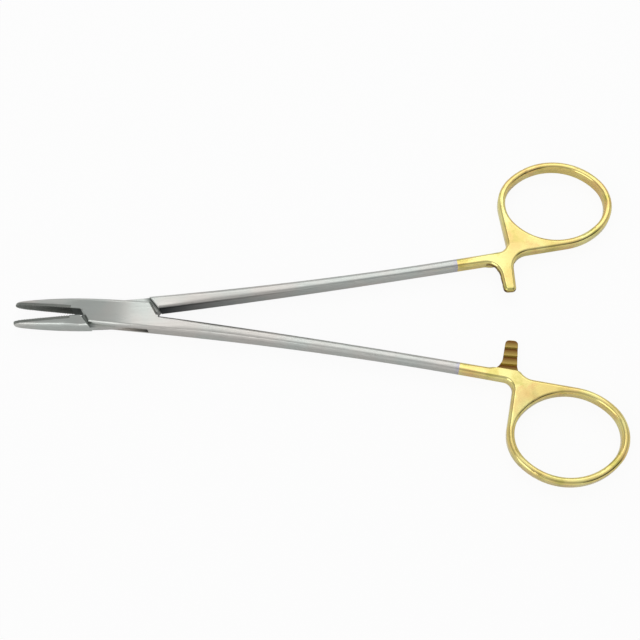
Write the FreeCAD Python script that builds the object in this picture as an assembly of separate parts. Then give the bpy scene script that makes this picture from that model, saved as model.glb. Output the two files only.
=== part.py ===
import FreeCAD, Part
import math
import os

from FreeCAD import Vector

# A needle holder for suturing: two forged steel halves cross at a box lock, a pin holds them together, and a
# toothed carbide insert is brazed into each jaw. The ring handles carry a half-lapped ratchet.
#
# Frame: the pin runs along Z through the origin, the jaws point along -X and the rings along +X. The ring of
# the male half lies towards +Y. Z = 0 is the underside of the lock, on which the tool lies.
#
# Each half is drawn closed, its jaw below the X axis and its ring above it. The male half is that drawing,
# and the female half is the drawing turned over. Both are then turned apart to the open pose of the tool.

# Driving dimensions, in millimetres and degrees

# Pose: how far each half is turned from closed
half_opening = 4.45

# Jaws
jaw_reach = 31.4          # pin axis to the tip
tip_height = 1.35         # jaw height at the tip, from the bite line to the back
tip_corner = 1.0          # rounding of the tip, seen from above
nose_length = 2.5         # rounded nose of the bite face
nose_half_width = 1.82    # half the width of the bite face behind the nose
nose_flat = 0.6           # half the width of the blunt tip

# Lock
lock_thickness = 5.6
lock_half_width = 4.1     # at the pin
lock_heading = 0.78       # slope of the side at the pin
lock_front = 10.7         # pin axis to the crotch of the jaws
lock_rear = 12.8          # pin axis to the crotch of the shanks
flat_front = 9.0          # where the flat side faces end in front
shoulder_angle = 54.0     # slant of the shoulders against the long axis
tang_thickness = 2.4
slot_clearance = 0.05     # on each face of the tang
shoulder_clearance = 0.12
cheek_bevel = 0.6         # along the slanted ends of the cheeks
shoulder_bevel = 0.25     # along the shoulders that face them

# Pin
pin_radius = 1.4
pin_running_clearance = 0.04
pin_head_flare = 0.35
pin_head_depth = 0.6

# Inserts
insert_length = 17.6
insert_thickness = 1.0
bite_gap = 0.05           # left between the two inserts when the jaws close
face_relief = 0.04        # the plain face behind each insert lies this far below the bite line
tooth_pitch = 0.54
tooth_depth = 0.2
tooth_angle = 45.0        # direction of the grooves against the long axis

# Shanks
shank_gap = 0.1           # inner edge to the centre plane at the crotch
wrist_reach = 116.6       # pin axis to where the shank meets the ring
wrist_offset = 11.3       # outer edge of the shank there
wrist_width = 3.05
inner_bow = 0.55          # bow of the inner edge
handle_thickness = 4.2
thickness_ease = 12.0     # length over which the side profile bends at each end
taper_end = 96.0          # where the shank has thinned to the handle's thickness

# Rings
ring_half_length = 15.9   # to the middle of the bar
ring_half_width = 13.05
ring_end_radius = 10.7    # middle of the bar at the narrow ends of the oval
ring_bar = 2.2
ring_tilt = -5.6
ring_forward = 16.35      # ring centre from the wrist
ring_outward = 14.4
web_flare = 5.7           # slant of the two outer edges that join ring and shank
wrist_fillet = 2.8
web_fillet = 5.0

# Ratchet arms
arm_overlap = 3.5         # of the two arms when the jaws first touch
arm_width = 3.5
arm_flare = 6.0           # slant of the arm's front edge
arm_setback = 1.7         # rear edge of the arm behind the wrist
lap_land = 0.15           # left standing between the half lap and the inner edge of the shank
arm_fillet = 4.2
arm_corner = 1.2
lap_clearance = 0.05      # tooth tips to the middle plane
ratchet_teeth = 3
ratchet_pitch = 2.55
ratchet_depth = 0.5
ratchet_drop = 0.4        # length of a tooth's steep face
ratchet_lead = 0.15       # flat before the first tooth

# Rounding of the long edges
edge_radius = 1.0

# Places that follow from the sizes above
middle = lock_thickness / 2
handle_half = handle_thickness / 2
beyond = 40.0             # how far a cutting tool reaches past the work
tip = (-jaw_reach, tip_height)
waist = (0.0, lock_half_width)
wrist = (wrist_reach, wrist_offset)
ring_centre = (wrist_reach + ring_forward, wrist_offset + ring_outward)
arm_rear = wrist_reach + arm_setback
arm_end = -arm_overlap / 2
insert_rear = -jaw_reach + insert_length
slot_half = tang_thickness / 2 + slot_clearance
edge_limit = 0.46         # share of a wall that the rounding of one edge may take


def flat(point, height=0.0):
    return Vector(point[0], point[1], height)


def straight(points):
    return [Part.LineSegment(flat(a), flat(b)).toShape() for a, b in zip(points, points[1:])]


def ahead(point, heading, distance):
    turn = math.radians(heading)
    return (point[0] + distance * math.cos(turn), point[1] + distance * math.sin(turn))


def bend(start, heading, end):
    """The arc that leaves start at a heading, in degrees, and its heading at end."""
    dx, dy = end[0] - start[0], end[1] - start[1]
    chord = math.degrees(math.atan2(dy, dx))
    turn = (chord - heading + 180.0) % 360.0 - 180.0
    sag = math.tan(math.radians(turn / 2)) / 2
    top = ((start[0] + end[0]) / 2 + dy * sag, (start[1] + end[1]) / 2 - dx * sag)
    return Part.Arc(flat(start), flat(top), flat(end)).toShape(), heading + 2 * turn


def plate(edges, low, high):
    outline = Part.Face(Part.Wire(Part.__sortEdges__(edges)))
    solid = outline.extrude(Vector(0, 0, high - low))
    solid.translate(Vector(0, 0, low))
    return solid


def polygon(points, low, high):
    return plate(straight(points + points[:1]), low, high)


def side_on(solid):
    """Turns a plate drawn in X and Y so that its Y becomes Z and its thickness runs along -Y."""
    solid.rotate(Vector(0, 0, 0), Vector(1, 0, 0), 90)
    return solid


def mirrored(solid):
    return solid.mirror(Vector(0, 0, 0), Vector(0, 1, 0))


def middle_of(edge):
    return edge.valueAt((edge.FirstParameter + edge.LastParameter) / 2)


def is_upright(edge):
    if len(edge.Vertexes) != 2:
        return False
    run = edge.Vertexes[1].Point - edge.Vertexes[0].Point
    return abs(run.z) > 1e-3 and math.hypot(run.x, run.y) < 1e-6


def round_corner(solid, place, radius):
    """Rounds the upright edge that stands nearest to a place in the plan."""
    edges = [e for e in solid.Edges if is_upright(e)]
    edge = min(edges, key=lambda e: math.hypot(middle_of(e).x - place[0], middle_of(e).y - place[1]))
    return solid.makeFillet(radius, [edge])


def rim_edges(solid):
    """The edges between an upright wall and a face that looks up or down, each with the wall's direction."""
    found = []
    for edge in solid.Edges:
        spot = middle_of(edge)
        faces = [f for f in solid.Faces if any(other.isSame(edge) for other in f.Edges)]
        normals = [f.normalAt(*f.Surface.parameter(spot)) for f in faces]
        if len(normals) != 2:
            continue
        wall, cap = sorted(normals, key=lambda n: abs(n.z))
        if abs(wall.z) < 0.02 and abs(cap.z) > 0.3:
            found.append((edge, spot, wall))
    return found


# Plan outline of one half

def outer_arc_centre():
    """Centre and radius of the arc that the outer edge follows from the pin to the wrist."""
    dx, dy = wrist[0] - waist[0], wrist[1] - waist[1]
    turn = math.atan2(dy, dx) - math.radians(lock_heading)
    radius = math.hypot(dx, dy) / 2 / math.sin(turn)
    return ahead(waist, lock_heading + 90, radius), radius


def outer_edge(x):
    (cx, cy), radius = outer_arc_centre()
    return cy - math.sqrt(radius ** 2 - (x - cx) ** 2)


def inner_arc():
    """Inner edge of the shank, from the crotch to just past the arm."""
    start = (lock_rear, shank_gap)
    end = (wrist_reach, wrist_offset - wrist_width)
    chord = math.degrees(math.atan2(end[1] - start[1], end[0] - start[0]))
    length = math.hypot(end[0] - start[0], end[1] - start[1])
    heading = chord - 2 * math.degrees(math.atan(2 * inner_bow / length))
    return start, heading, end


def inner_edge(x):
    start, heading, end = inner_arc()
    arc = bend(start, heading, end)[0]
    upright = Part.LineSegment(Vector(x, -beyond, 0), Vector(x, beyond, 0)).toShape()
    return arc.distToShape(upright)[1][0][0].y


def side_profile(from_x, to_x, reach):
    """The tool seen from the side, as a solid that is cut to the plan outline."""
    front = -jaw_reach
    jaw_arc, heading = bend((-flat_front, middle), 180, (front + nose_length, nose_half_width))
    nose = straight([(front, 0), (front, nose_flat)])
    nose += [bend((front + nose_length, nose_half_width), heading, (front, nose_flat))[0]]
    slope = (middle - handle_half) / (taper_end - lock_rear - thickness_ease)
    top = (lock_rear + thickness_ease, middle - slope * thickness_ease / 2)
    foot = (taper_end - thickness_ease, handle_half + slope * thickness_ease / 2)
    upper = nose + [jaw_arc]
    upper += straight([(-flat_front, middle), (lock_rear, middle)])
    upper += [bend((lock_rear, middle), 0, top)[0]]
    upper += straight([top, foot])
    upper += [bend((taper_end, handle_half), 180, foot)[0]]
    upper += straight([(taper_end, handle_half), (to_x, handle_half), (to_x, 0)])
    lower = [mirrored(e) for e in upper]
    body = side_on(plate(upper + lower, -reach, reach))
    keep = Part.makeBox(to_x - from_x, 2 * reach, 2 * beyond, Vector(from_x, -reach, -beyond))
    return body.common(keep)


def shoulder(x, side, run):
    """Two points of a shoulder line that leaves the centre plane at x and slants towards the pin."""
    slant = math.copysign(run / math.tan(math.radians(shoulder_angle)), -x)
    return [(x, 0.0), (x + slant, side * run)]


def shifted(points, distance):
    return [(x + distance, y) for x, y in points]


def lock_blank():
    """Jaw and lock of one half, before the lock is milled: full width on both sides of the centre plane."""
    flank = bend(waist, 180 + lock_heading, tip)[0]
    rear = (lock_rear, outer_edge(lock_rear))
    half_way = (lock_rear / 2, outer_edge(lock_rear / 2))
    side = Part.Arc(flat(waist), flat(half_way), flat(rear)).toShape()
    outline = [flank, side] + straight([tip, (tip[0], 0)]) + straight([rear, (rear[0], 0)])
    outline += [mirrored(e) for e in outline]
    blank = plate(outline, -beyond, beyond)
    for end in (1, -1):
        blank = round_corner(blank, (tip[0], end * tip[1]), tip_corner)
    blank = blank.common(side_profile(-beyond, lock_rear, beyond))
    long_edges = [edge for edge, spot, wall in rim_edges(blank) if spot.x < lock_rear - 1e-3]
    return blank.makeFillet(edge_radius, long_edges)


def trim_lock(blank):
    """Cuts the blank to one half: jaw below the centre plane, shank above it."""
    front = shoulder(-lock_front, 1, beyond)
    rear = shoulder(lock_rear, -1, beyond)
    above_jaw = polygon([front[0], front[1], (-2 * beyond, beyond), (-2 * beyond, 0)], -beyond, beyond)
    below = [(lock_rear, shank_gap), rear[0], rear[1], (2 * beyond, -beyond), (2 * beyond, shank_gap)]
    return blank.cut(above_jaw).cut(polygon(below, -beyond, beyond))


# Ring handle

def oval(offset):
    """Four-centred oval round the origin, offset from the middle of the ring's bar."""
    end_centre = ring_half_length - ring_end_radius
    step = ring_half_width - ring_end_radius
    side_centre = (end_centre ** 2 - step ** 2) / (2 * step)
    end_radius = ring_end_radius + offset
    side_radius = ring_half_width + side_centre + offset
    return end_centre, side_centre, end_radius, side_radius


def oval_edges(offset):
    end_centre, side_centre, end_radius, side_radius = oval(offset)
    split = math.atan2(side_centre, end_centre)
    x, y = end_centre + end_radius * math.cos(split), end_radius * math.sin(split)
    far_x, far_y = end_centre + end_radius, side_radius - side_centre
    corners = [(x, -y), (x, y), (-x, y), (-x, -y)]
    tops = [(far_x, 0), (0, far_y), (-far_x, 0), (0, -far_y)]
    edges = []
    for number, top in enumerate(tops):
        arc = Part.Arc(flat(corners[number]), flat(top), flat(corners[(number + 1) % 4])).toShape()
        arc.rotate(Vector(0, 0, 0), Vector(0, 0, 1), ring_tilt)
        arc.translate(flat(ring_centre))
        edges.append(arc)
    return edges


def touch_point(offset, outward):
    """Where the oval's outward direction is the given one, in degrees."""
    end_centre, side_centre, end_radius, side_radius = oval(offset)
    turn, tilt = math.radians(outward - ring_tilt), math.radians(ring_tilt)
    nx, ny = math.cos(turn), math.sin(turn)
    if abs(nx) * side_centre > abs(ny) * end_centre:
        x, y = math.copysign(end_centre, nx) + end_radius * nx, end_radius * ny
    else:
        x, y = side_radius * nx, side_radius * ny - math.copysign(side_centre, ny)
    return (ring_centre[0] + x * math.cos(tilt) - y * math.sin(tilt),
            ring_centre[1] + x * math.sin(tilt) + y * math.cos(tilt))


def handle_blank():
    """Shank, ring and ratchet arm in full thickness, with every outer edge rounded."""
    start, heading, end = inner_arc()
    inner, end_heading = bend(start, heading, end)
    core = wrist_offset - wrist_width / 2
    past = (arm_rear, outer_edge(arm_rear))
    rear = (lock_rear, outer_edge(lock_rear))
    half_way = (wrist_reach / 2, outer_edge(wrist_reach / 2))
    outer = Part.Arc(flat(rear), flat(half_way), flat(past)).toShape()
    inner_past = ahead(end, end_heading, arm_rear - wrist_reach)
    shank = [outer, inner] + straight([end, inner_past, past]) + straight([rear, start])

    top_touch = touch_point(ring_bar / 2, 180 + web_flare)
    low_touch = touch_point(ring_bar / 2, web_flare - 90)
    flare = math.tan(math.radians(web_flare))
    web_corner = (arm_rear, low_touch[1] - (low_touch[0] - arm_rear) * flare)
    wrist_corner = (top_touch[0] + (top_touch[1] - core) * flare, core)
    web = [top_touch, wrist_corner, (arm_rear, core), web_corner, low_touch, ring_centre]

    front_low = arm_rear - arm_width
    front_high = front_low - (core - arm_end) * math.tan(math.radians(arm_flare))
    arm = [(front_low, arm_end), (arm_rear, arm_end), (arm_rear, web_corner[1]), (front_high, core)]

    blank = plate(shank, -middle, middle)
    blank = blank.fuse([polygon(web, -middle, middle), polygon(arm, -middle, middle),
                        plate(oval_edges(ring_bar / 2), -middle, middle)])
    blank = blank.cut(plate(oval_edges(-ring_bar / 2), -beyond, beyond)).removeSplitter()
    armpit = front_low - (inner_past[1] - arm_end) * math.tan(math.radians(arm_flare))
    corners = [((wrist_corner[0], wrist_offset), wrist_fillet), (web_corner, web_fillet),
               ((armpit, inner_edge(armpit)), arm_fillet),
               ((front_low, arm_end), arm_corner), ((arm_rear, arm_end), arm_corner)]
    for place, radius in corners:
        blank = round_corner(blank, place, radius)
    far = ring_centre[0] + ring_half_length + 2 * ring_bar
    blank = blank.common(side_profile(lock_rear, far, 2 * beyond))
    radius = min(edge_radius, edge_limit * ring_bar, edge_limit * wrist_width)
    long_edges = [edge for edge, spot, wall in rim_edges(blank) if spot.x > lock_rear + 1e-3]
    return blank.makeFillet(radius, long_edges)


def ratchet_tool():
    """What is milled off the upper half of a ratchet arm: the half lap with its saw teeth."""
    roof = lap_clearance + ratchet_depth
    points = [(arm_end - beyond, -beyond), (arm_end - beyond, roof), (arm_end + ratchet_lead, roof)]
    for tooth in range(ratchet_teeth):
        start = arm_end + ratchet_lead + tooth * ratchet_pitch
        points += [(start + ratchet_pitch - ratchet_drop, lap_clearance), (start + ratchet_pitch, roof)]
    points += [(beyond, roof), (beyond, -beyond)]
    tool = polygon(points, 0, beyond)
    tool.rotate(Vector(0, 0, 0), Vector(1, 1, 1), 120)
    tool.translate(Vector(wrist_reach - beyond / 2, 0, 0))
    start, heading, end = inner_arc()
    heading = bend(start, heading, end)[1]
    land = (end[0], end[1] - lap_land)
    front, rear = ahead(land, heading, -arm_width - 2 * arm_fillet), ahead(land, heading, beyond)
    return tool.common(polygon([front, rear, (rear[0], -beyond), (front[0], -beyond)], -beyond, beyond))


def half_forging():
    """One half with its ratchet teeth, before the lock is milled. Drawn closed, as the male half."""
    body = trim_lock(lock_blank()).fuse(handle_blank())
    return body.cut(ratchet_tool())


# Lock

def between_shoulders(widening, low, high):
    """Prism over the lock between the cheeks' slanted ends, which lie where the two halves part."""
    front = shifted(shoulder(-lock_front, -1, beyond), -widening)
    rear = shifted(shoulder(lock_rear, 1, beyond), widening)
    points = [(front[0][0], beyond), front[0], front[1], (rear[0][0], -beyond), rear[0], rear[1]]
    return polygon(points, low, high)


def sideways(clearance):
    """A clearance square to a shoulder, measured along X."""
    return clearance / math.sin(math.radians(shoulder_angle))


def pin_solid(growth=0.0):
    """The riveted pin, ground flush with both cheeks and flared in their countersinks."""
    neck = middle - pin_head_depth
    wide, slim = pin_radius + pin_head_flare, pin_radius
    if growth:
        return Part.makeCylinder(slim + growth, lock_thickness, Vector(0, 0, -middle))
    profile = [(0, -middle), (wide, -middle), (slim, -neck), (slim, neck), (wide, middle), (0, middle)]
    outline = Part.Face(Part.Wire(straight(profile + profile[:1])))
    outline.rotate(Vector(0, 0, 0), Vector(1, 0, 0), 90)
    return outline.revolve(Vector(0, 0, 0), Vector(0, 0, 1), 360)


def bevels(x, side, outward, size):
    """Wedges that bevel a slanted wall where it meets the faces of the lock.

    The wall leaves the centre plane at x, runs to one side of it and looks outward at that angle, in degrees.
    """
    low, high = middle - size, middle + size
    wedge = side_on(polygon([(-2 * size, high), (0, low), (size, low), (size, high)], -beyond, beyond))
    wedge.rotate(Vector(0, 0, 0), Vector(0, 0, 1), outward)
    wedge.translate(Vector(x, 0, 0))
    floor = 0 if side > 0 else -beyond
    wedge = wedge.common(Part.makeBox(2 * beyond, beyond, 2 * beyond, Vector(x - beyond, floor, -beyond)))
    return [wedge, wedge.mirror(Vector(0, 0, 0), Vector(0, 0, 1))]


def male_lock(half):
    """Mills the tang, which runs in the other half's slot, bevels its shoulders and bores it for the pin."""
    widening = sideways(shoulder_clearance)
    for low, high in ((tang_thickness / 2, beyond), (-beyond, -tang_thickness / 2)):
        half = half.cut(between_shoulders(widening, low, high))
    half = half.cut(bevels(-lock_front - widening, -1, 90 - shoulder_angle, shoulder_bevel))
    half = half.cut(bevels(lock_rear + widening, 1, 270 - shoulder_angle, shoulder_bevel))
    return half.cut(pin_solid(pin_running_clearance))


def female_lock(half):
    """Cuts the slot between the two cheeks, bevels the cheeks' slanted ends and drills them for the pin."""
    widening = sideways(shoulder_clearance)
    half = half.cut(mirrored(between_shoulders(widening, -slot_half, slot_half)))
    half = half.cut(bevels(-lock_front, -1, 270 - shoulder_angle, cheek_bevel))
    half = half.cut(bevels(lock_rear, 1, 90 - shoulder_angle, cheek_bevel))
    return half.cut(pin_solid())


# Jaws

def seat_zone():
    """The pocket in the jaw that takes the insert, open at the tip and at both sides."""
    return Part.makeBox(beyond, beyond, 2 * beyond, Vector(insert_rear - beyond, -insert_thickness, -beyond))


def relief_zone():
    return Part.makeBox(beyond, beyond, 2 * beyond, Vector(-lock_front - beyond, -face_relief, -beyond))


def ridges(angle):
    """A block whose top is a row of V grooves that run at an angle across the bite face."""
    reach = insert_length
    top = -bite_gap / 2
    count = int(2 * reach / tooth_pitch)
    points = [(-reach, -beyond), (-reach, top - tooth_depth)]
    for number in range(count):
        foot = -reach + number * tooth_pitch
        points += [(foot + tooth_pitch / 2, top), (foot + tooth_pitch, top - tooth_depth)]
    points += [(-reach + count * tooth_pitch, -beyond)]
    block = polygon(points, -reach, reach)
    block.rotate(Vector(0, 0, 0), Vector(0, 1, 0), angle)
    block.translate(Vector(insert_rear - insert_length / 2, 0, 0))
    return block


def insert_solid(blank):
    insert = blank.common(seat_zone())
    return insert.common(ridges(tooth_angle)).common(ridges(-tooth_angle))


def finish_jaw(half):
    return half.cut(seat_zone()).cut(relief_zone())


# Assembly

def in_place(shape, turn):
    placed = shape.copy()
    placed.rotate(Vector(0, 0, 0), Vector(0, 0, 1), turn)
    placed.translate(Vector(0, 0, middle))
    return placed


def build():
    forging = half_forging()
    insert = insert_solid(lock_blank())
    jawed = finish_jaw(forging)
    flip = FreeCAD.Placement(Vector(0, 0, 0), FreeCAD.Rotation(Vector(1, 0, 0), 180))
    male = male_lock(jawed)
    female = jawed.copy()
    female.Placement = flip
    female = female_lock(female)
    lower_insert = insert.copy()
    upper_insert = insert.copy()
    upper_insert.Placement = flip
    return {
        "female_half": in_place(female, -half_opening),
        "male_half": in_place(male, half_opening),
        "pivot_pin": in_place(pin_solid(), 0),
        "upper_jaw_insert": in_place(upper_insert, -half_opening),
        "lower_jaw_insert": in_place(lower_insert, half_opening),
    }


os.makedirs("parts", exist_ok=True)
for name, shape in build().items():
    solids = shape.Solids
    print(name, "solids", len(solids), "valid", shape.isValid(), "volume", round(shape.Volume, 2))
    shape.exportStep("parts/" + name + ".step")
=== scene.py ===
import math

import bpy
from mathutils import Matrix, Vector


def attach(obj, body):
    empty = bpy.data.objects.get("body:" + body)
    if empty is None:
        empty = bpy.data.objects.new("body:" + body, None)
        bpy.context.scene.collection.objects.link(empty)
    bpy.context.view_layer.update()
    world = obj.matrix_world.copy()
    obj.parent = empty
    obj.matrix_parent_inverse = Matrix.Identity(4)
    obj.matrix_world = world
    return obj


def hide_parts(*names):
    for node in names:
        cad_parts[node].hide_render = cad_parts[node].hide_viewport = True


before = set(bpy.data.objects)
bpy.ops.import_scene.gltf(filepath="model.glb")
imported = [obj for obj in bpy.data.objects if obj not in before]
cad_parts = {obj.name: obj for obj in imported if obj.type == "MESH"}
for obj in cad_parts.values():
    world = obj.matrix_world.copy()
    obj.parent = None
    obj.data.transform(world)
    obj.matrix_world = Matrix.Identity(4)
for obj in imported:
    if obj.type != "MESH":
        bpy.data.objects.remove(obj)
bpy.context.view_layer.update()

# A needle holder lies open on pale paper, seen from above. The forged halves, the pin and the inserts come
# from the frame as triangles. A copy of each is merged, so that it shades as ground and polished steel does.

mm = 0.001
scene = bpy.context.scene
print("frame loaded:", sorted(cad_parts))


# Tools for materials

def linear(hexColour):
    # sRGB hex to the linear values that a shader takes
    values = [int(hexColour[i:i + 2], 16) / 255 for i in (1, 3, 5)]
    return tuple(v / 12.92 if v <= 0.04045 else ((v + 0.055) / 1.055) ** 2.4 for v in values) + (1.0,)


def addNode(tree, kind, inputs=None, **settings):
    # An input that is a socket is linked, any other is set.
    node = tree.nodes.new(kind)
    for name, value in settings.items():
        setattr(node, name, value)
    for socket, value in (inputs or {}).items():
        if isinstance(value, bpy.types.NodeSocket):
            tree.links.new(value, node.inputs[socket])
        else:
            node.inputs[socket].default_value = value
    return node


def newMaterial(name):
    material = bpy.data.materials.new(name)
    material.use_nodes = True
    material.node_tree.nodes.clear()
    return material, material.node_tree


def showMetal(tree, inputs):
    shader = addNode(tree, "ShaderNodeBsdfPrincipled", {"Metallic": 1.0, **inputs})
    addNode(tree, "ShaderNodeOutputMaterial", {"Surface": shader.outputs["BSDF"]})


def millimetres(tree):
    place = addNode(tree, "ShaderNodeTexCoord").outputs["Object"]
    scaled = addNode(tree, "ShaderNodeVectorMath", {0: place, "Scale": 1 / mm}, operation="SCALE")
    return scaled.outputs["Vector"]


def within(tree, limits):
    # A mask that rises from 0 to 1 between the two ends of every limit
    mask = 1.0
    for value, outside, inside in limits:
        limit = addNode(tree, "ShaderNodeMapRange", {"Value": value, "From Min": outside, "From Max": inside})
        share = addNode(tree, "ShaderNodeMath", {0: limit.outputs[0], 1: mask}, operation="MULTIPLY")
        mask = share.outputs[0]
    return mask


def drift(tree, place, size, span, most=1.0, detail=2.0, twist=0.0):
    # A share that drifts over a size in mm, from 0 at the low end of the noise's span to most at its high end
    noise = addNode(tree, "ShaderNodeTexNoise", {
        "Vector": place, "Scale": 1 / size, "Detail": detail, "Distortion": twist})
    low, high = span
    share = addNode(tree, "ShaderNodeMapRange", {
        "Value": noise.outputs["Fac"], "From Min": low, "From Max": high, "To Max": most})
    return share.outputs[0]


# The pose of the halves, as in the frame. Side is +1 for the male half, whose ring lies towards +Y, and -1
# for the female half.

pose = {
    "opening": 4.45,          # degrees that each half is turned from closed
    "lockMiddle": 2.8,        # mm, height of the plane between the two arms
}


def fromPin(tree, place, side, degrees):
    # mm from the pin along a direction, which is turned from +X towards the half's own ring
    turn = math.radians(degrees)
    direction = (math.cos(turn), side * math.sin(turn), 0)
    along = addNode(tree, "ShaderNodeVectorMath", {0: place, 1: direction}, operation="DOT_PRODUCT")
    return along.outputs["Value"]


def fromCentrePlane(tree, place, side):
    return fromPin(tree, place, side, 90 + pose["opening"])


# Satin steel

steelLook = {
    "colour": "#c6c6c3", "greenCast": "#bac8c1", "tanCast": "#cfc6bd",
    "castSize": 14.0,         # mm, patches of faint tint left by the last polish
    "castSpan": (0.38, 0.62), "castShare": 0.35,
    "roughness": 0.31, "roughnessSpread": 0.04,
    "grindAngle": 8.0,        # degrees, the way the belt ran along a half
    "brushSpacing": 0.3,      # mm, real brushing of about 0.03 mm is drawn this coarse so that it shows
    "brushStretch": 45.0,     # times longer than its spacing
    "brushDepth": 0.002,      # mm
    "brushStrength": 0.5, "brushSpan": (0.3, 0.7), "brushDetail": 3.0,
}

# Hand grinding leaves the flat faces slightly round: across each jaw and shank, and along the lock. Lengths
# are in mm. A line is its offset, slope and bend, as mm from the centre plane and per mm along it.
groundLook = {
    "jawRadius": 8.0, "jawTop": -0.2,         # highest near the bite line
    "jawFades": [(-11.0, -15.5)],             # along the tool, from flat to fully round
    "shankRadius": 4.4,
    "shankFades": [(14.0, 30.0), (110.0, 100.0)],
    "shankMiddle": (1.75, 0.0328, 0.000309),
    "lockRise": 2.2, "lockReach": 11.0,       # height and reach of the soft swell that the light shows
}

# Painted shade: a dark tone, with a duller finish, where the steel lies in shade or mirrors dark
# surroundings. Each pair is one side of a mask in mm, from where it starts to where it is full.
paintedShadeLook = {
    "roughness": 0.5,
    "paintedBiteShade": "#6c726e",                    # painted shade on the plain face behind each insert, for the dark it mirrors
    "biteAlong": (-10.6, -10.9), "biteAcross": (-0.3, -0.12),
    "paintedInnerShade": "#55595a",                   # painted shade on the inner walls of the shanks, for the dark they mirror, fading towards the rings
    "innerEdge": (-0.6, 0.0521, 0.000204),    # a line, as above
    "innerAcross": (0.5, 0.15), "innerCrotch": (12.6, 12.9), "innerAlong": (100.0, 14.0),
    "innerPower": 2.5,                        # above 1, most of the fading of the painted shade is near the crotch
    "tang": "#6a6f6c",                        # painted shade in the gaps and corners between the tang and its shoulders
    "tangInside": (1.13, 1.17), "tangOutside": (1.27, 1.23),        # either side of half its thickness
    "tangMiddle": 1.05, "shoulderSlope": 0.7265,                    # mm behind the pin, and mm per mm
    "shoulderBefore": (9.7, 11.9), "shoulderPast": (12.2, 12.0),
}


def fromLine(tree, across, along, line):
    # mm outwards from a slightly bent line that runs along one half
    offset, slope, bend = line
    height = addNode(tree, "ShaderNodeMath", {0: along, 1: bend, 2: slope}, operation="MULTIPLY_ADD")
    height = addNode(tree, "ShaderNodeMath", {
        0: along, 1: height.outputs[0], 2: offset}, operation="MULTIPLY_ADD")
    outwards = addNode(tree, "ShaderNodeMath", {0: across, 1: height.outputs[0]}, operation="SUBTRACT")
    return outwards.outputs[0]


def crown(tree, fromTop, along, fades, radius):
    # Fall in mm of a face ground round, at a distance from its top line
    squared = addNode(tree, "ShaderNodeMath", {0: fromTop, 1: fromTop}, operation="MULTIPLY")
    fall = addNode(tree, "ShaderNodeMath", {0: squared.outputs[0], 1: -0.5 / radius}, operation="MULTIPLY")
    shown = within(tree, [(along, start, full) for start, full in fades])
    fall = addNode(tree, "ShaderNodeMath", {0: fall.outputs[0], 1: shown}, operation="MULTIPLY")
    return fall.outputs[0]


def groundFaces(tree, across, along):
    look = groundLook
    fromBite = addNode(tree, "ShaderNodeMath", {0: across, 1: look["jawTop"]}, operation="SUBTRACT")
    fromMiddle = fromLine(tree, across, along, look["shankMiddle"])
    jaw = crown(tree, fromBite.outputs[0], along, look["jawFades"], look["jawRadius"])
    shank = crown(tree, fromMiddle, along, look["shankFades"], look["shankRadius"])
    ground = addNode(tree, "ShaderNodeMath", {0: jaw, 1: shank}, operation="ADD")
    squared = addNode(tree, "ShaderNodeMath", {0: along, 1: along}, operation="MULTIPLY")
    away = addNode(tree, "ShaderNodeMath", {
        0: squared.outputs[0], 1: -0.5 / look["lockReach"] ** 2}, operation="MULTIPLY")
    swell = addNode(tree, "ShaderNodeMath", {0: away.outputs[0]}, operation="EXPONENT")
    height = addNode(tree, "ShaderNodeMath", {
        0: swell.outputs[0], 1: look["lockRise"], 2: ground.outputs[0]}, operation="MULTIPLY_ADD")
    return addNode(tree, "ShaderNodeBump", {"Height": height.outputs[0], "Distance": mm}).outputs["Normal"]


def paintedBiteShade(tree, across, along):
    # Mask of the painted shade on the plain face behind each insert
    return within(tree, ((along, *paintedShadeLook["biteAlong"]), (across, *paintedShadeLook["biteAcross"])))


def paintedInnerShade(tree, across, along):
    # Mask of the painted shade on the inner walls of the shanks near the crotch
    look = paintedShadeLook
    fade = addNode(tree, "ShaderNodeMath", {
        0: within(tree, [(along, *look["innerAlong"])]), 1: look["innerPower"]}, operation="POWER")
    fromEdge = fromLine(tree, across, along, look["innerEdge"])
    inside = within(tree, ((fromEdge, *look["innerAcross"]), (along, *look["innerCrotch"])))
    mask = addNode(tree, "ShaderNodeMath", {0: inside, 1: fade.outputs[0]}, operation="MULTIPLY")
    return mask.outputs[0]


def tangCorners(tree, place, across, along):
    # Mask of the painted shade in the corners and gaps between the tang and its shoulders.
    # The slanted shoulders lie alike before and behind a point a little behind the pin.
    look = paintedShadeLook
    height = addNode(tree, "ShaderNodeSeparateXYZ", {"Vector": place}).outputs["Z"]
    reaches = []
    for value, middle in ((height, pose["lockMiddle"]), (along, look["tangMiddle"]), (across, 0.0)):
        reach = addNode(tree, "ShaderNodeMath", {0: value, 1: middle}, operation="SUBTRACT")
        reach = addNode(tree, "ShaderNodeMath", {0: reach.outputs[0]}, operation="ABSOLUTE")
        reaches.append(reach.outputs[0])
    high, far, wide = reaches
    slanted = addNode(tree, "ShaderNodeMath", {
        0: wide, 1: look["shoulderSlope"], 2: far}, operation="MULTIPLY_ADD").outputs[0]
    return within(tree, ((high, *look["tangInside"]), (high, *look["tangOutside"]),
                         (slanted, *look["shoulderBefore"]), (slanted, *look["shoulderPast"])))


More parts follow.
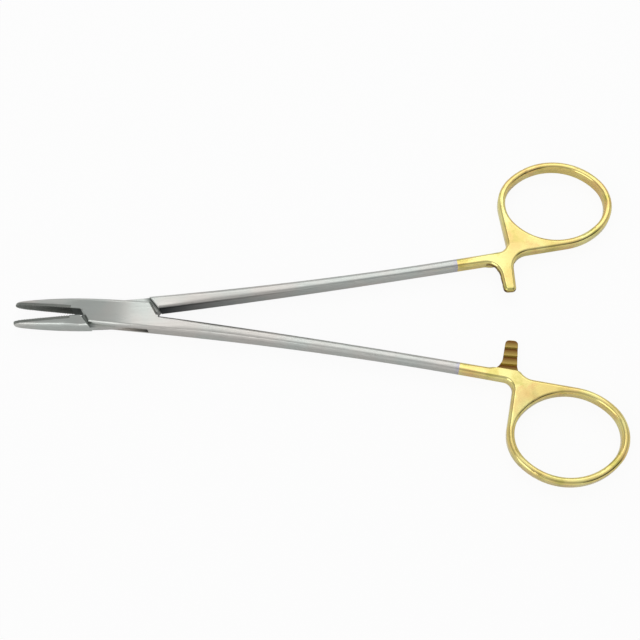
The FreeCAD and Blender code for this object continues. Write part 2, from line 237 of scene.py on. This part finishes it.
def satinSteel(tree, place, side):
    look = steelLook
    across, along = fromCentrePlane(tree, place, side), fromPin(tree, place, side, pose["opening"])
    cast = addNode(tree, "ShaderNodeMix", {
        0: drift(tree, place, look["castSize"], look["castSpan"]),
        6: linear(look["greenCast"]), 7: linear(look["tanCast"])}, data_type="RGBA")
    colour = addNode(tree, "ShaderNodeMix", {
        0: look["castShare"], 6: linear(look["colour"]), 7: cast.outputs[2]}, data_type="RGBA").outputs[2]
    stretched = addNode(tree, "ShaderNodeMapping", {
        "Vector": place, "Rotation": (0, 0, -side * math.radians(look["grindAngle"])),
        "Scale": (1 / look["brushStretch"], 1.0, 1.0)})
    brush = addNode(tree, "ShaderNodeTexNoise", {
        "Vector": stretched.outputs["Vector"], "Scale": 1 / look["brushSpacing"],
        "Detail": look["brushDetail"]})
    (low, high), spread = look["brushSpan"], look["roughnessSpread"]
    rough = addNode(tree, "ShaderNodeMapRange", {
        "Value": brush.outputs["Fac"], "From Min": low, "From Max": high,
        "To Min": look["roughness"] - spread, "To Max": look["roughness"] + spread}).outputs[0]
    normal = addNode(tree, "ShaderNodeBump", {
        "Height": brush.outputs["Fac"], "Distance": look["brushDepth"] * mm,
        "Strength": look["brushStrength"], "Normal": groundFaces(tree, across, along)})
    # Painted shade over the steel's colour, with a duller roughness: behind the inserts, on the inner walls
    # near the crotch and in the tang's corners
    for mask, tone in ((paintedBiteShade(tree, across, along), paintedShadeLook["paintedBiteShade"]),
                       (paintedInnerShade(tree, across, along), paintedShadeLook["paintedInnerShade"]),
                       (tangCorners(tree, place, across, along), paintedShadeLook["tang"])):
        colour = addNode(tree, "ShaderNodeMix", {
            0: mask, 6: colour, 7: linear(tone)}, data_type="RGBA").outputs[2]
        rough = addNode(tree, "ShaderNodeMix", {0: mask, 2: rough, 3: paintedShadeLook["roughness"]}).outputs[0]
    return colour, rough, normal.outputs["Normal"]


# Gold plating

giltLook = {
    "lemon": "#eee498",
    # tone over tone: colour, size in mm, span of the noise, share at most, detail and twist
    "gold": ("#e7d184", 9.0, (0.36, 0.58), 1.0, 2.0, 0.0),
    "olive": ("#c6bd66", 5.0, (0.52, 0.70), 0.9, 3.0, 0.0),
    "amber": ("#e6bd7e", 6.0, (0.54, 0.68), 0.6, 2.0, 0.6),
    "roughness": 0.15,
    "start": 102.15,          # mm from the pin along each shank
    "slant": 9.0,             # degrees between the X axis and the shank
    "edge": 0.12,             # mm over which the plating fades in
    "maskTint": "#b3aecb", "maskShare": 0.6,
    "maskReach": 1.4,         # mm, violet bloom on the steel beside the edge
}

# Toothed faces of the ratchet. Their plating is duller, and painted brown for the dark reflections in the
# teeth, with painted shade darkest in the roots of the teeth.
toothLook = {
    "crest": "#a48f4e", "paintedRootShade": "#5c3216", "roughness": 0.36,
    "front": 109.4,           # mm, in front of both ratchet arms
    "lapEnd": 7.5,            # mm from the centre plane to the end of the half lap
    "firstRoot": -1.6, "pitch": 2.55,         # mm, across the centre plane
    "tip": 0.84,              # place of a tooth's tip, as a share of the pitch
    "depth": 1.5, "fade": 0.15,               # mm, from the plane between the arms, and of the mask's sides
}


def toothedFace(tree, place, side):
    # A mask of the toothed face, and how far each of its points stands above the roots of the teeth
    look = toothLook
    across = fromCentrePlane(tree, place, side)
    split = addNode(tree, "ShaderNodeSeparateXYZ", {"Vector": place})
    fade = look["fade"]
    inner = pose["lockMiddle"] - side * fade
    outer = pose["lockMiddle"] + side * look["depth"]
    mask = within(tree, ((split.outputs["X"], look["front"], look["front"] + fade),
                         (across, look["lapEnd"] + fade, look["lapEnd"]),
                         (split.outputs["Z"], inner - side * fade, inner),
                         (split.outputs["Z"], outer + side * fade, outer)))
    teeth = addNode(tree, "ShaderNodeMapRange", {
        "Value": across, "From Min": look["firstRoot"], "From Max": look["firstRoot"] + look["pitch"]},
        clamp=False)
    phase = addNode(tree, "ShaderNodeMath", {0: teeth.outputs[0]}, operation="FRACT")
    return mask, within(tree, [(phase.outputs[0], 0.0, look["tip"])])


def giltColour(tree, place):
    colour = linear(giltLook["lemon"])
    for tone in ("gold", "olive", "amber"):
        hexColour, *pattern = giltLook[tone]
        colour = addNode(tree, "ShaderNodeMix", {
            0: drift(tree, place, *pattern), 6: colour, 7: linear(hexColour)}, data_type="RGBA").outputs[2]
    return colour


def forgedHalf(name, side):
    # Stainless steel, belt-ground to a satin grey that spreads highlights into soft bands. Thin gold plating
    # over a polished ground starts at a sharp line and mirrors the studio in lemon, gold and olive.
    material, tree = newMaterial(name)
    place = millimetres(tree)
    steel, rough, normal = satinSteel(tree, place, side)
    along = fromPin(tree, place, side, giltLook["slant"])
    start, half = giltLook["start"], giltLook["edge"] / 2
    near = addNode(tree, "ShaderNodeMapRange", {
        "Value": along, "From Min": start - giltLook["maskReach"], "From Max": start,
        "To Max": giltLook["maskShare"]})
    steel = addNode(tree, "ShaderNodeMix", {
        0: near.outputs[0], 6: steel, 7: linear(giltLook["maskTint"])}, data_type="RGBA").outputs[2]
    plated = within(tree, [(along, start - half, start + half)])
    # Painted reflection and shade on the toothed faces: dull brown, darkest in the roots of the teeth
    mask, rise = toothedFace(tree, place, side)
    teeth = addNode(tree, "ShaderNodeMix", {
        0: rise, 6: linear(toothLook["paintedRootShade"]), 7: linear(toothLook["crest"])}, data_type="RGBA")
    gilt = addNode(tree, "ShaderNodeMix", {
        0: mask, 6: giltColour(tree, place), 7: teeth.outputs[2]}, data_type="RGBA")
    colour = addNode(tree, "ShaderNodeMix", {0: plated, 6: steel, 7: gilt.outputs[2]}, data_type="RGBA")
    giltRough = addNode(tree, "ShaderNodeMapRange", {
        "Value": mask, "To Min": giltLook["roughness"], "To Max": toothLook["roughness"]})
    allRough = addNode(tree, "ShaderNodeMix", {0: plated, 2: rough, 3: giltRough.outputs[0]})
    showMetal(tree, {"Base Color": colour.outputs[2], "Roughness": allRough.outputs[0], "Normal": normal})
    return material


def pinSteel(name):
    # The same stainless steel, riveted and ground flush with the cheeks, so it can hardly be told from them.
    material, tree = newMaterial(name)
    steel, rough, normal = satinSteel(tree, millimetres(tree), -1)
    showMetal(tree, {"Base Color": steel, "Roughness": rough, "Normal": normal})
    return material


# Carbide

carbideLook = {
    "light": "#9a9d98", "dark": "#727671", "roughness": 0.4,
    "grain": 0.22,            # mm
    "grainSpan": (0.3, 0.7), "grainDetail": 4.0,
}


def carbide(name):
    # Sintered tungsten carbide, ground and cut with crossed grooves. It is darker than the steel, and its
    # grain scatters light, so the teeth read as a fine dark net.
    look = carbideLook
    material, tree = newMaterial(name)
    grain = drift(tree, millimetres(tree), look["grain"], look["grainSpan"], detail=look["grainDetail"])
    colour = addNode(tree, "ShaderNodeMix", {
        0: grain, 6: linear(look["dark"]), 7: linear(look["light"])}, data_type="RGBA")
    showMetal(tree, {"Base Color": colour.outputs[2], "Roughness": look["roughness"]})
    return material


# Pieces

pieces = {
    "mergeReach": 0.002,      # mm, corners of neighbouring triangles that are one corner
    "forgingEdge": 30.0,      # degrees, an angle that stays a sharp edge
    "toothEdge": 15.0,
}


def deselectAll():
    bpy.ops.object.select_all(action="DESELECT")


def dressed(node, name, material, body, edgeAngle):
    # The copy is merged first, so that rounded edges shade smoothly and ground edges stay crisp.
    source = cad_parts[node]
    piece = source.copy()
    piece.data = source.data.copy()
    piece.name = name
    piece.parent = None
    scene.collection.objects.link(piece)
    for key in list(piece.keys()):
        del piece[key]
    deselectAll()
    piece.select_set(True)
    bpy.context.view_layer.objects.active = piece
    bpy.ops.mesh.customdata_custom_splitnormals_clear()
    bpy.ops.object.mode_set(mode="EDIT")
    bpy.ops.mesh.select_all(action="SELECT")
    bpy.ops.mesh.remove_doubles(threshold=pieces["mergeReach"] * mm)
    bpy.ops.mesh.normals_make_consistent(inside=False)
    bpy.ops.object.mode_set(mode="OBJECT")
    bpy.ops.object.shade_smooth_by_angle(angle=math.radians(edgeAngle))
    weighted = piece.modifiers.new("weighted", "WEIGHTED_NORMAL")
    weighted.keep_sharp = True
    bpy.ops.object.modifier_apply(modifier=weighted.name)
    piece.data.materials.clear()
    piece.data.materials.append(material)
    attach(piece, body)
    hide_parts(node)
    print("piece:", name, len(piece.data.vertices), "vertices")


forged, toothed = pieces["forgingEdge"], pieces["toothEdge"]
femaleSteel = forgedHalf("satinStainlessGiltFemale", -1)
maleSteel = forgedHalf("satinStainlessGiltMale", 1)
upperCarbide, lowerCarbide = carbide("sinteredCarbideUpper"), carbide("sinteredCarbideLower")
dressed("female_half", "femaleHalfForging", femaleSteel, "female", forged)
dressed("male_half", "maleHalfForging", maleSteel, "male", forged)
dressed("pivot_pin", "rivetedPin", pinSteel("groundStainlessPin"), "female", forged)
dressed("upper_jaw_insert", "upperCarbideInsert", upperCarbide, "female", toothed)
dressed("lower_jaw_insert", "lowerCarbideInsert", lowerCarbide, "male", toothed)


# Studio

studio = {
    "floorSize": 3.0, "floorColour": "#f6f6f6",
    "floorShown": 0.93, "floorMirrored": 0.15,      # shares of plain white, to the camera and to metal
    "worldShown": 1.0, "worldMirrored": 0.08,
    "zenithLevel": 0.457, "horizonLevel": 0.946,
    "horizonReach": 0.6,                 # sine of the height from which the zenith's level holds
    "darkLevel": 0.0,
    "darkSide": -40.0,                   # degrees round from +X, a dark panel that hangs in the studio
    "darkSpread": (0.87, 0.94),          # cosines of the angles to the panel's soft sides
    "darkTop": (0.85, 0.65), "darkFoot": (0.19, 0.32),        # sines of the heights over which it fades
}

# Each softbox: its place, what it faces, its sides in metres and its power in watts
softboxes = {
    "keySoftbox": ((0.10, 0.41, 0.45), (0.06, 0.0, 0.0), (0.7, 0.25), 0.6),
    "shankSoftbox": ((0.05, 0.25, 0.70), (0.05, 0.25, 0.0), (0.26, 0.22), 0.23),
    "ringSoftbox": ((0.30, 0.30, 0.70), (0.30, 0.30, 0.0), (0.3, 0.25), 0.15),
    "overheadSoftbox": ((0.20, 0.05, 0.70), (0.20, 0.05, 0.0), (0.5, 0.25), 0.15),
    "jawSoftbox": ((-0.28, -0.42, 0.50), (-0.02, 0.0, 0.0), (0.35, 0.5), 0.75),
}


def whiteShare(tree, shown, mirrored):
    # Share of plain white that the camera sees, and a smaller one that metal and glass see
    path = addNode(tree, "ShaderNodeLightPath")
    indirect = addNode(tree, "ShaderNodeMath", {
        0: path.outputs["Is Glossy Ray"], 1: path.outputs["Is Transmission Ray"]}, operation="MAXIMUM")
    indirect = addNode(tree, "ShaderNodeMath", {0: indirect.outputs[0], 1: mirrored}, operation="MULTIPLY")
    share = addNode(tree, "ShaderNodeMath", {
        0: path.outputs["Is Camera Ray"], 1: shown, 2: indirect.outputs[0]}, operation="MULTIPLY_ADD")
    return share.outputs[0]


def makeFloor():
    # Plain paper, shown to the camera as nearly pure white, which keeps a faint shadow
    material, tree = newMaterial("matteWhitePaper")
    paper = addNode(tree, "ShaderNodeBsdfPrincipled", {
        "Base Color": linear(studio["floorColour"]), "Roughness": 1.0, "Specular IOR Level": 0.0})
    glow = addNode(tree, "ShaderNodeEmission", {"Strength": 1.0})
    mix = addNode(tree, "ShaderNodeMixShader", {
        0: whiteShare(tree, studio["floorShown"], studio["floorMirrored"]),
        1: paper.outputs["BSDF"], 2: glow.outputs["Emission"]})
    addNode(tree, "ShaderNodeOutputMaterial", {"Surface": mix.outputs["Shader"]})
    deselectAll()
    bpy.ops.mesh.primitive_plane_add(size=studio["floorSize"], location=(0, 0, 0))
    floor = bpy.context.object
    floor.name = "paperGround"
    floor.data.materials.append(material)


def makeSoftbox(name, place, target, sides, watts):
    lamp = bpy.data.lights.new(name, "AREA")
    lamp.shape = "RECTANGLE"
    lamp.size, lamp.size_y = sides
    lamp.energy = watts
    softbox = bpy.data.objects.new(name, lamp)
    softbox.location = place
    softbox.rotation_euler = (Vector(target) - Vector(place)).to_track_quat("-Z", "Y").to_euler()
    scene.collection.objects.link(softbox)


def makeWorld():
    # Soft light from all round, brighter low down, with one dark panel that draws streaks on polished edges
    world = bpy.data.worlds.new("softStudio")
    world.use_nodes = True
    scene.world = world
    tree = world.node_tree
    tree.nodes.clear()
    azimuth = math.radians(studio["darkSide"])
    direction = addNode(tree, "ShaderNodeTexCoord").outputs["Generated"]
    height = addNode(tree, "ShaderNodeSeparateXYZ", {"Vector": direction}).outputs["Z"]
    level = addNode(tree, "ShaderNodeMapRange", {
        "Value": height, "From Min": 0.0, "From Max": studio["horizonReach"],
        "To Min": studio["horizonLevel"], "To Max": studio["zenithLevel"]})
    around = addNode(tree, "ShaderNodeVectorMath", {0: direction, 1: (1, 1, 0)}, operation="MULTIPLY")
    around = addNode(tree, "ShaderNodeVectorMath", {0: around.outputs["Vector"]}, operation="NORMALIZE")
    near = addNode(tree, "ShaderNodeVectorMath", {
        0: around.outputs["Vector"], 1: (math.cos(azimuth), math.sin(azimuth), 0)}, operation="DOT_PRODUCT")
    dark = within(tree, ((near.outputs["Value"], *studio["darkSpread"]), (height, *studio["darkTop"]),
                         (height, *studio["darkFoot"])))
    strength = addNode(tree, "ShaderNodeMix", {0: dark, 2: level.outputs[0], 3: studio["darkLevel"]})
    sky = addNode(tree, "ShaderNodeBackground", {"Color": (1, 1, 1, 1), "Strength": strength.outputs[0]})
    white = addNode(tree, "ShaderNodeBackground", {"Color": (1, 1, 1, 1), "Strength": 1.0})
    mix = addNode(tree, "ShaderNodeMixShader", {
        0: whiteShare(tree, studio["worldShown"], studio["worldMirrored"]),
        1: sky.outputs[0], 2: white.outputs[0]})
    addNode(tree, "ShaderNodeOutputWorld", {"Surface": mix.outputs[0]})


makeFloor()
for name, values in softboxes.items():
    makeSoftbox(name, *values)
makeWorld()
print("studio ready")


# Camera, found from the rings, the shanks and the jaws in the picture

camera = {
    "tilt": 21.18, "azimuth": 9.58, "roll": 1.52,   # degrees from straight above
    "distance": 321.3,                              # mm from the pin's plane
    "right": 60.31, "up": -1.49,                    # mm in the picture plane, pin to the picture's centre
    "focalPixels": 1076.7, "picture": 640, "sensor": 36.0,
    "clipStart": 0.01, "clipEnd": 10.0,             # metres
}


def makeCamera():
    tilt, azimuth, roll = (math.radians(camera[k]) for k in ("tilt", "azimuth", "roll"))
    back = Vector((math.sin(azimuth) * math.sin(tilt), -math.cos(azimuth) * math.sin(tilt), math.cos(tilt)))
    right = Vector((0, 1, 0)).cross(back).normalized()
    up = back.cross(right)
    turnedRight = math.cos(roll) * right + math.sin(roll) * up
    turnedUp = -math.sin(roll) * right + math.cos(roll) * up
    middle = Vector((0, 0, pose["lockMiddle"]))
    centre = camera["right"] * turnedRight + camera["up"] * turnedUp + middle
    place = (centre + camera["distance"] * back) * mm
    lens = bpy.data.cameras.new("photoCamera")
    lens.sensor_fit = "HORIZONTAL"
    lens.sensor_width = camera["sensor"]
    lens.lens = camera["focalPixels"] / camera["picture"] * camera["sensor"]
    lens.clip_start = camera["clipStart"]
    lens.clip_end = camera["clipEnd"]
    viewer = bpy.data.objects.new("photoCamera", lens)
    scene.collection.objects.link(viewer)
    axes = Matrix((turnedRight, turnedUp, back)).transposed().to_4x4()
    viewer.matrix_world = Matrix.Translation(place) @ axes
    scene.camera = viewer


makeCamera()
scene.view_settings.view_transform = "Standard"
print("camera ready")
